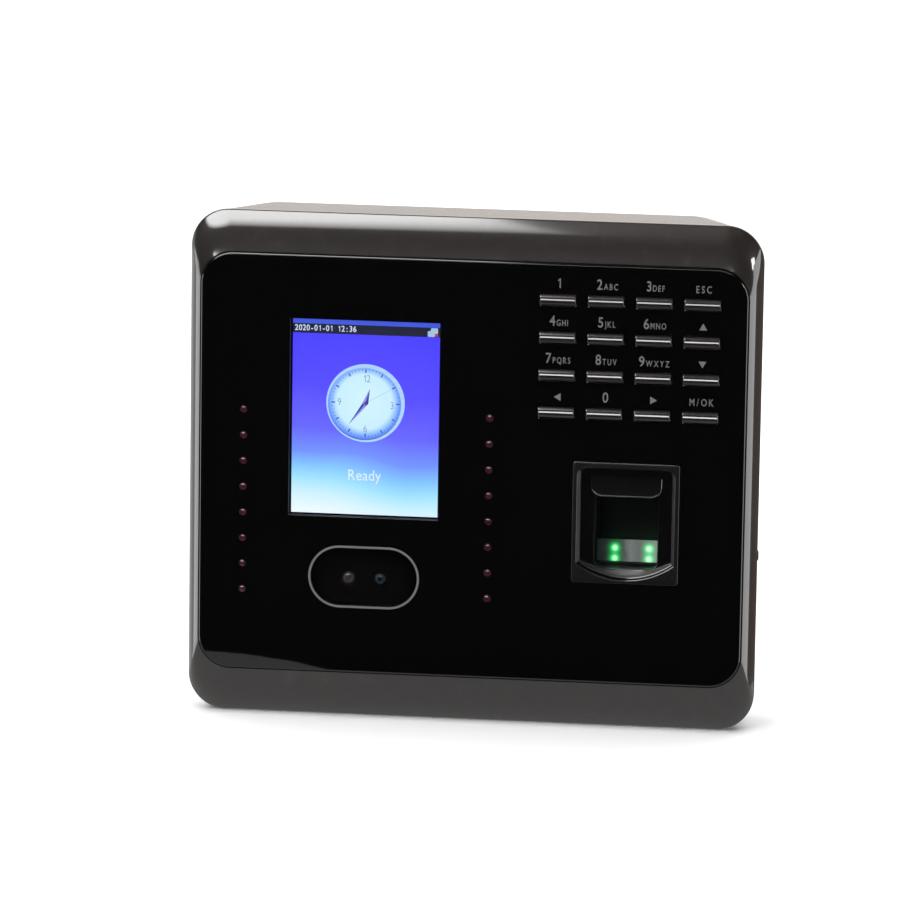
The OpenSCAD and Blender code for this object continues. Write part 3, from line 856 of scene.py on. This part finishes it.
def status_bar():
    """The strip and bar along the picture's top, with a generic date and an icon."""
    bar_top = PICTURE_TOP - 1.35
    bar_foot = bar_top - 2.8
    strip = rectangle(PICTURE_LEFT, PICTURE_RIGHT, bar_top, PICTURE_TOP)
    picture_layer("status_strip", strip, 2.45, glow("strip_glow", srgb(66, 90, 222)))
    bar = rectangle(PICTURE_LEFT, PICTURE_RIGHT, bar_foot, bar_top)
    picture_layer("status_bar", bar, 2.45, glow("bar_glow", srgb(8, 12, 46)))
    form = bmesh.new()
    add_text(form, "2020-01-01 12:36", 1.65, PICTURE_LEFT + 0.5, bar_foot + 0.75, 2.43, 0.85, align=0,
             bold=0.015, pitch=1.14)
    lit_piece("status_text", form, glow("status_white", srgb(225, 238, 255)))
    form = bmesh.new()
    icon_x, icon_z = PICTURE_RIGHT - 2.1, (bar_top + bar_foot) / 2
    for shift, depth in ((0.45, 2.43), (-0.45, 2.41)):
        prism(form, outline(2.1, 1.7, 0.3, icon_x + shift, icon_z + shift, 3), depth, depth + 0.01)
    lit_piece("status_icon", form, glow("icon_glow", srgb(176, 206, 232)))
    dot = circle(0.42, icon_x + 1.1, icon_z - 0.85, 16)
    picture_layer("status_dot", dot, 2.39, glow("dot_glow", srgb(226, 60, 70)))


CLOCK_X, CLOCK_Z, CLOCK_R = window.x, window.z + 4.4, 11.57


def polar(radius, degrees_from_twelve):
    """A point of the dial."""
    angle = math.radians(90 - degrees_from_twelve)
    return CLOCK_X + radius * math.cos(angle), CLOCK_Z + radius * math.sin(angle)


def clock_tick(form, degrees, near, far, width):
    angle = math.radians(90 - degrees)
    across = (-math.sin(angle) * width / 2, math.cos(angle) * width / 2)
    inner, outer = polar(near, degrees), polar(far, degrees)
    points = [
        (inner[0] + across[0], inner[1] + across[1]), (inner[0] - across[0], inner[1] - across[1]),
        (outer[0] - across[0], outer[1] - across[1]), (outer[0] + across[0], outer[1] + across[1]),
    ]
    prism(form, points, 2.40, 2.41)


def clock_hand(name, degrees, tip, half_width, tail, depth, light, dark):
    """A long diamond, lighter on its left half."""
    end, foot = polar(tip, degrees), polar(-tail, degrees)
    for side, material, half in ((-90, light, "left"), (90, dark, "right")):
        corner = polar(half_width, degrees + side)
        picture_layer(f"{name}_{half}", [foot, corner, end], depth, material)


def clock():
    """The dial, its rim, ticks, numerals and three hands."""
    form = bmesh.new()
    outer = circle(CLOCK_R, CLOCK_X, CLOCK_Z, 96)
    inner = circle(CLOCK_R - 0.82, CLOCK_X - 0.3, CLOCK_Z - 0.27, 96)
    rings = [at_depth(outer, 2.42), at_depth(outer, 2.44), at_depth(inner, 2.44), at_depth(inner, 2.42)]
    loft(form, rings, closed=True)
    lit_piece("clock_rim", form, glow("rim_glow", srgb(186, 222, 255)))
    dial_r = CLOCK_R - 0.3
    face = circle(dial_r, CLOCK_X, CLOCK_Z, 96)
    picture_layer("clock_face", face, 2.445, dial_glow(CLOCK_X, CLOCK_Z, dial_r))

    form = bmesh.new()
    for minute in range(60):
        if minute % 5 == 0:
            clock_tick(form, minute * 6, 9.0, 10.05, 0.4)
        else:
            clock_tick(form, minute * 6, 9.6, 10.1, 0.14)
    lit_piece("clock_ticks", form, glow("tick_glow", srgb(44, 92, 184)))

    form = bmesh.new()
    for text, x, z in (("12", 0.4, 7.3), ("3", 7.8, -0.4), ("6", 0.0, -7.6), ("9", -7.7, 0.2)):
        add_text(form, text, 2.1, CLOCK_X + x, CLOCK_Z + z - 1.05, 2.40, 0.8, 0.25)
    lit_piece("clock_numerals", form, glow("numeral_glow", srgb(146, 172, 192)))

    light, dark = glow("hand_light", srgb(150, 146, 236)), glow("hand_dark", srgb(40, 56, 160))
    clock_hand("hour_hand", 16, 4.5, 0.85, 0.9, 2.36, light, dark)
    clock_hand("minute_hand", 217, 8.3, 0.75, 0.8, 2.38, light, dark)
    form = bmesh.new()
    clock_tick(form, 60, 0.8, 8.6, 0.12)
    lit_piece("second_hand", form, glow("second_glow", srgb(172, 204, 206)))
    picture_layer("clock_hub", circle(0.42, CLOCK_X, CLOCK_Z, 24), 2.34, glow("hub_glow", srgb(92, 60, 140)))


def greeting():
    """A generic word in the place where the display greets its user."""
    form = bmesh.new()
    add_text(form, "Ready", 3.1, window.x, window.z - 18.6, 2.43, 0.86, 0.3)
    lit_piece("greeting", form, glow("greeting_glow", srgb(240, 252, 255)))


def display():
    picture = rectangle(PICTURE_LEFT, PICTURE_RIGHT, PICTURE_BOTTOM, PICTURE_TOP)
    picture_layer("display_picture", picture, 2.475, sky_glow())
    status_bar()
    clock()
    greeting()


# ---- lamps and lenses


def dome(radius, crest, height, degrees):
    """Sections of a dome, at these angles from its crest."""
    angles = [math.radians(turn) for turn in degrees]
    return [(radius * math.sin(angle), crest + height * (1 - math.cos(angle))) for angle in angles]


def lamp_column(node, name, material, highlight_material):
    """Round-nosed lamps on their rims, paler round the nose, where the paler epoxy is a painted highlight.
    """
    form = bmesh.new()
    box = Box(node)
    rim, nose = box.width / 2, 1.18
    sections = dome(nose, box.near, 0.4, (4, 18, 32, 46, 60, 75, 90))
    sections += [(nose, 2.6), (rim, 2.6), (rim, box.far)]
    middles = lamp_places(node)
    for x, z in middles:
        turned(form, x, z, sections, 24)
    piece = make_object(name, form, 35)
    finish_piece(piece, material, stands_for=[node])

    # The dome's shoulder and the rim in front of it take the paler epoxy, a painted highlight.
    def in_painted_highlight(x, depth, z, normal):
        across = min(math.hypot(x - px, z - pz) for px, pz in middles)
        return 0.68 * nose < across < rim and depth < 1.0

    second_material(piece, highlight_material, in_painted_highlight)


def camera_mask(barrels):
    """Black backing of the camera window, open in front of each lens."""
    form = bmesh.new()
    prism(form, camera_outline(-0.2), 2.32, 2.42)
    piece = make_object("camera_mask", form, 30)
    holes = bmesh.new()
    for barrel in barrels:
        prism(holes, circle(2.45, barrel.x, barrel.z), 2, 3)
    cut_away(piece, holes, 30)
    finish_piece(piece, plastic("mask_black", srgb(5, 5, 5), 0.9, grain=0.5))


def lens_barrel(name, node, glass_r, barrel, glass_material, pupil_r, pupil_shade_material):
    """A lens in its turned barrel, on the camera's square body. The darker middle of its glass is painted
    shade.
    """
    box = Box(node)
    x, z = box.x, box.z
    form = bmesh.new()
    prism(form, outline(8, 8, 0.4, x, z, 3), 6.4, box.far)
    tube(form, x, z, [
        (glass_r, 3.5), (glass_r, 3.0), (glass_r + 0.25, 2.85), (2.6, 2.9), (2.6, 3.6), (2.9, 3.65),
        (3.0, 3.8), (3.0, 4.6), (2.85, 4.7), (2.85, 5.0), (3.0, 5.1), (3.0, 6.4), (0.8, 6.4), (0.8, 4.4),
        (glass_r * 0.55, 4.3), (glass_r * 0.6, 3.9),
    ], 40)
    piece = make_object(name + "_barrel", form, 35)
    finish_piece(piece, barrel, stands_for=[node])
    form = bmesh.new()
    sections = dome(glass_r, 2.75, 0.8, (3, 12, 20, 28, 42, 56, 72, 90))
    turned(form, x, z, sections + [(glass_r, 3.7), (0.1, 3.7)], 40)
    piece = finish_piece(make_object(name + "_glass", form, 35), glass_material)

    # The pupil's darker ground is painted shade: the dark inside of the lens, which clear glass would show.
    def in_pupil(px, depth, pz, normal):
        return math.hypot(px - x, pz - z) < pupil_r

    second_material(piece, pupil_shade_material, in_pupil)


# ---- fingerprint reader


READER_FLANGE = 4


def mouth_outline(grow, foot):
    """The reader's mouth: round upper corners and a lip bowed downwards. foot is the lip's lowest point."""
    side_wall = 1.2
    width, height = reader.width - READER_FLANGE - 2 * side_wall + 2 * grow, 34.2 + 2 * grow
    lip_radius = 24.0 + grow
    middle_z = reader.z - 0.3
    bottom = reader.z - foot
    points = []
    for x, z in outline(width, height, 3.0 + grow, reader.x, middle_z, 8, 12):
        across = min(abs(x - reader.x), lip_radius - 0.01)
        lip = bottom + lip_radius - math.sqrt(lip_radius**2 - across**2)
        points.append((x, max(z, lip)))
    return points


def reader_frame():
    form = bmesh.new()
    outer_w, outer_h = reader.width - READER_FLANGE, reader.height - READER_FLANGE

    def outer(inset, depth, grow=0.0):
        width, height = outer_w + grow - 2 * inset, outer_h + grow - 2 * inset
        return at_depth(outline(width, height, 0.8 + grow / 4, reader.x, reader.z, 8, 12), depth)

    def mouth(grow, foot, depth):
        return at_depth(mouth_outline(grow, foot), depth)

    def well(grow, depth):
        points = outline(18.8 + 2 * grow, 23.4 + 2 * grow, 2.5 + grow, reader.x, reader.z - 2.4, 8, 12)
        return at_depth(points, depth)

    rings = [
        well(0, reader.far), outer(0, reader.far),
        outer(0, 3.9), outer(0, 3.9, READER_FLANGE), outer(0, 2.4, READER_FLANGE), outer(0, 2.4),
        outer(0, 0.3), outer(0.09, 0.09), outer(0.3, 0.0),
        mouth(0.0, 17.1, 0.0), mouth(-0.12, 16.98, 0.05), mouth(-0.3, 16.8, 0.25), mouth(-0.5, 16.6, 0.75),
        mouth(-0.75, 16.3, 1.0), mouth(-0.95, 16.0, 1.3), mouth(-1.1, 15.7, 2.1),
        well(0.3, 3.0), well(0.06, 3.04), well(0, 3.2), well(0, 5.2),
    ]
    loft(form, rings, closed=True)
    add_hood(form)
    piece = make_object("reader_frame", form, 50)
    material = plastic("reader_plastic", srgb(12, 12, 12), 0.12, grain=0.4, relief=0.0008)
    finish_piece(piece, material, stands_for=["fingerprint_frame"], flat_faces=True)
    satin = plastic("reader_rim", srgb(15, 14, 14), 0.26, grain=0.3, relief=0.002)
    second_material(piece, satin, lambda x, depth, z, normal: depth < 0.1 and normal.y < -0.6)
    matt = plastic("reader_side", srgb(10, 10, 10), 0.5, grain=0.3, relief=0.002)

    def side_or_floor(x, depth, z, normal):
        return abs(normal.x) > 0.6 or (depth > 0.9 and normal.z > 0.5)

    second_material(piece, matt, side_or_floor)


def add_hood(form):
    """The brow above the sensor. It leans out towards its rounded lower edge."""
    width, height, radius = 21.0, 12.6, 3.2
    foot = reader.z + 8.2
    middle_z = foot + height / 2 - 0.6
    lean = math.tan(math.radians(20))
    back, rounding = 5.4, 0.55
    insets = []
    for i in range(7):
        angle = math.pi / 2 * i / 6
        insets.append((rounding * (1 - math.cos(angle)), 2 * rounding - rounding * math.sin(angle)))
    insets += [(1.2, 0.53), (4.0, 0.52)]
    rings = [at_depth(outline(width - 1.2, height - 1.2, radius, reader.x, middle_z, 8, 6), back)]
    for inset, depth in insets:
        points = outline(width - 2 * inset, height - 2 * inset, max(radius - inset * 0.9, 0.6),
                         reader.x, middle_z, 8, 6)
        rings.append([place(x, depth + lean * (z - foot), z) for x, z in points])
    loft(form, rings)


# ---- carried-over CAD nodes


def paint(node, material):
    """Gives a CAD node that stays on show its material."""
    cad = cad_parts[node]
    cad.data.materials.clear()
    cad.data.materials.append(material)


def paint_cad_nodes(leds):
    board = board_resin()
    chips = plastic("chip_epoxy", srgb(30, 30, 33), 0.5, grain=0.15)
    zinc = plated_steel("zinc_plate", srgb(168, 172, 178), 0.38)
    tin = plated_steel("tinned_steel", srgb(196, 196, 192), 0.22, (8, 1, 1))
    screw = plated_steel("screw_steel", srgb(150, 150, 154), 0.3, (1, 1, 1))
    black_screw = plated_steel("black_screw", srgb(70, 70, 74), 0.35, (1, 1, 1))
    finishes = {
        "wall_plate": zinc,
        "rear_housing": plastic("housing_plastic", srgb(66, 61, 58), 0.2, grain=0.35, relief=0.002),
        "panel_tape": plastic("foam_tape", srgb(22, 22, 22), 0.9, grain=0.4, relief=0.08),
        "display_window": clear("clear_window", (0.96, 0.97, 1.0, 1)),
        "display_glass": plastic("dark_glass", srgb(10, 10, 14), 0.15, grain=2, relief=0.0005),
        "display_frame": tin,
        "camera_window": clear("smoked_window", (0.62, 0.6, 0.61, 1)),
        "camera_board": board,
        "lamp_board_left": board,
        "lamp_board_right": board,
        "keypad_mat": plastic("silicone", srgb(206, 204, 196), 0.6, grain=0.3),
        "keypad_board": board,
        "fingerprint_window": clear("sensor_glass", (0.62, 0.64, 0.64, 1), 0.02),
        "fingerprint_diffuser": lit_strip(leds),
        "fingerprint_leds": glow("led_green", srgb(130, 255, 160), 1.5),
        "fingerprint_case": plastic("case_black", srgb(12, 12, 12), 0.5),
        "fingerprint_board": board,
        "main_board": board,
        "main_chips": chips,
        "coin_cell": tin,
        "speaker": plastic("speaker_paper", srgb(40, 40, 42), 0.75, grain=0.5, relief=0.05),
        "tamper_switch": plastic("switch_black", srgb(26, 26, 26), 0.45),
        "tamper_plunger": plastic("nylon_white", srgb(216, 214, 206), 0.4),
        "usb_socket": tin,
        "usb_cover": plastic("cover_rubber", srgb(30, 29, 28), 0.62, grain=0.2, relief=0.02),
        "network_socket": plastic("header_nylon", srgb(226, 222, 208), 0.42),
        "terminal_blocks": plastic("terminal_green", srgb(30, 124, 66), 0.38),
        "ribbon_cables": plastic("ribbon_film", srgb(200, 190, 160), 0.35, grain=0.8),
        "case_screws": black_screw,
        "board_screws": screw,
        "security_screw": screw,
    }
    for node, material in finishes.items():
        paint(node, material)


# ---- studio

FLOOR_Z = cad_box[0].z


def floor():
    form = bmesh.new()
    reach = 6.0
    corners = [(reach, reach), (-reach, reach), (-reach, -reach), (reach, -reach)]
    form.faces.new([form.verts.new((x, y, FLOOR_Z)) for x, y in corners])
    made = make_object("floor", form)
    material = new_material("pale_floor", Base_Color=srgb(244, 244, 244), Roughness=0.8)[0]
    made.data.materials.append(material)
    made.visible_glossy = False


def reflected_card(name, corners, strength, colour=(1, 1, 1, 1)):
    """A card that only reflections see, so that polished faces show a plain shape."""
    form = bmesh.new()
    form.faces.new([form.verts.new(corner) for corner in corners])
    made = make_object(name, form)
    material = new_material(
        name, Base_Color=BLACK, Roughness=1.0, Specular_IOR_Level=0.0,
        Emission_Color=colour, Emission_Strength=strength,
    )[0]
    made.data.materials.append(material)
    made.visible_camera = False
    made.visible_diffuse = False
    made.visible_transmission = False
    made.visible_shadow = False
    return material


def fade_out(material, centre, radii, strength):
    """Makes a card's glow fade towards the edge of an ellipse."""
    tree = material.node_tree
    offset = add(tree, "VectorMath", {0: position(tree), 1: centre}, operation="SUBTRACT").outputs[0]
    share = add(tree, "VectorMath", {0: offset, 1: radii}, operation="DIVIDE").outputs[0]
    reach = add(tree, "VectorMath", {0: share}, operation="LENGTH").outputs["Value"]
    shader = tree.nodes["Principled BSDF"]
    feed(tree, shader.inputs["Emission Strength"], spread(tree, reach, strength, 0.0, 0.7, 1.0))


def upright_card(name, foot, low, high, strength, colour=(1, 1, 1, 1)):
    """foot holds the two ends of the card's lower edge."""
    (x0, y0), (x1, y1) = foot
    corners = ((x0, y0, low), (x1, y1, low), (x1, y1, high), (x0, y0, high))
    reflected_card(name, corners, strength, colour)


def reflected_cards():
    """What the polished faces mirror: a key light, the pale table, light and dark sides and a bright back.

    The flag keeps the key light off the top of the housing when it is seen from behind.
    """
    turns = [math.pi * i / 24 for i in range(25)]
    x, y, z = middle = (-0.8, -0.15, 1.3)
    reach_x, reach_y = 0.95, 1.35
    key = [(min(x + reach_x * math.cos(turn), -0.13), y - reach_y * math.sin(turn), z) for turn in turns]
    key_glow = reflected_card("key_card", key, 1.0)
    fade_out(key_glow, middle, (reach_x, reach_y, 1.0), 16)
    upright_card("back_card", ((-2.5, 2.5), (2.5, 2.5)), -0.05, 1.6, 1.15, (1.0, 0.94, 0.9, 1))
    table = (
        (0.13, 0.02), (-0.13, 0.02), (-0.13, -0.113), (-0.095, -0.113), (-0.078, -0.110),
        (-0.062, -0.103), (-0.050, -0.094), (-0.040, -0.082), (-0.02, -0.07), (0.13, -0.07),
    )
    reflected_card("table_card", [(x, y, FLOOR_Z) for x, y in table], 0.85)
    upright_card("front_strip", ((-0.85, -1.6), (0.3, -1.6)), 0.30, 0.46, 18)
    upright_card("left_card", ((-0.7, -0.35), (-0.7, 0.15)), -0.6, 0.1, 4.6)
    upright_card("left_back_card", ((-0.7, 0.15), (-0.7, 1.4)), -0.9, 0.3, 0.8)
    upright_card("right_card", ((0.7, -0.5), (0.7, 0.08)), -0.6, 0.3, 5)
    upright_card("dark_card", ((0.7, 0.08), (0.7, 1.2)), -1.0, 0.5, 0.25, (1.0, 0.75, 0.65, 1))
    upright_card("spot_card", ((0.90, -0.79), (1.05, -0.52)), 0.34, 0.56, 26)
    upright_card("flag", ((-0.09, -0.0265), (0.09, -0.0265)), 0.0757, 0.11, 0.0)


def softbox(name, location, target, width, height, power):
    """A soft rectangular light that reflections don't show."""
    light = bpy.data.lights.new(name, "AREA")
    light.shape = "RECTANGLE"
    light.size, light.size_y = width, height
    light.energy = power
    holder = bpy.data.objects.new(name, light)
    holder.location = location
    holder.rotation_euler = (Vector(target) - Vector(location)).to_track_quat("-Z", "Y").to_euler()
    holder.visible_glossy = False
    bpy.context.scene.collection.objects.link(holder)


def studio_world():
    """A world that is brighter behind the terminal than in front of it."""
    world = bpy.data.worlds.new("studio")
    bpy.context.scene.world = world
    world.use_nodes = True
    tree = world.node_tree
    axes = add(tree, "SeparateXYZ", {0: add(tree, "TexCoord").outputs["Generated"]})
    behind = spread(tree, axes.outputs["Y"], 0.03, 0.9, -0.15, 0.3)
    feed(tree, tree.nodes["Background"].inputs["Strength"], behind)


def camera():
    data = bpy.data.cameras.new("camera")
    data.lens = 263.4
    data.sensor_width = 36
    data.clip_end = 50
    holder = bpy.data.objects.new("camera", data)
    holder.location = (0.2153, -1.9008, 0.3805)
    holder.rotation_euler = Euler((math.radians(78.770), math.radians(-0.8627), math.radians(6.931)))
    bpy.context.scene.collection.objects.link(holder)
    bpy.context.scene.camera = holder


def studio():
    bpy.context.scene.view_settings.view_transform = "Standard"
    floor()
    studio_world()
    reflected_cards()
    softbox("overhead", (-0.3, 0.5, 2.6), (-0.1, 0.5, 0), 4.0, 4.5, 200)
    softbox("front_fill", (-0.5, -1.2, 1.0), (0, 0, 0), 0.6, 0.6, 6)
    camera()


# ---- build

bezel_shell()
panel_face()
keypad()
camera_ring()
display()
epoxy = lamp_epoxy("lamp_epoxy", srgb(84, 22, 54))
# The paler epoxy is a painted highlight on the lamps' shoulders.
epoxy_painted_highlight = lamp_epoxy("lamp_epoxy_painted_highlight", srgb(78, 56, 70))
for side in ("left", "right"):
    lamp_column("lamps_" + side, "lamp_domes_" + side, epoxy, epoxy_painted_highlight)
camera_mask([Box("camera_lens_color"), Box("camera_lens_infrared")])
barrel_black = plastic("barrel_black", srgb(14, 14, 15), 0.35, grain=0.2)
grey = lens_glass("lens_grey", srgb(180, 176, 178))
# The pupils' darker grounds are painted shade for the dark inside of each lens.
pupil_shade_grey = lens_glass("lens_pupil_shade_grey", srgb(140, 138, 140))
lens_barrel("lens_color", "camera_lens_color", 2.0, barrel_black, grey, 1.1, pupil_shade_grey)
teal = lens_glass("lens_teal", srgb(120, 168, 182))
pupil_shade_dark = lens_glass("lens_pupil_shade_dark", srgb(20, 34, 46))
lens_barrel("lens_infrared", "camera_lens_infrared", 1.65, barrel_black, teal, 0.8, pupil_shade_dark)
reader_frame()
LED_PLACES = [(diffuser.x + across, diffuser.bottom + up) for across in (-3.55, 6.45) for up in (1.0, 4.0)]
paint_cad_nodes(LED_PLACES)
studio()
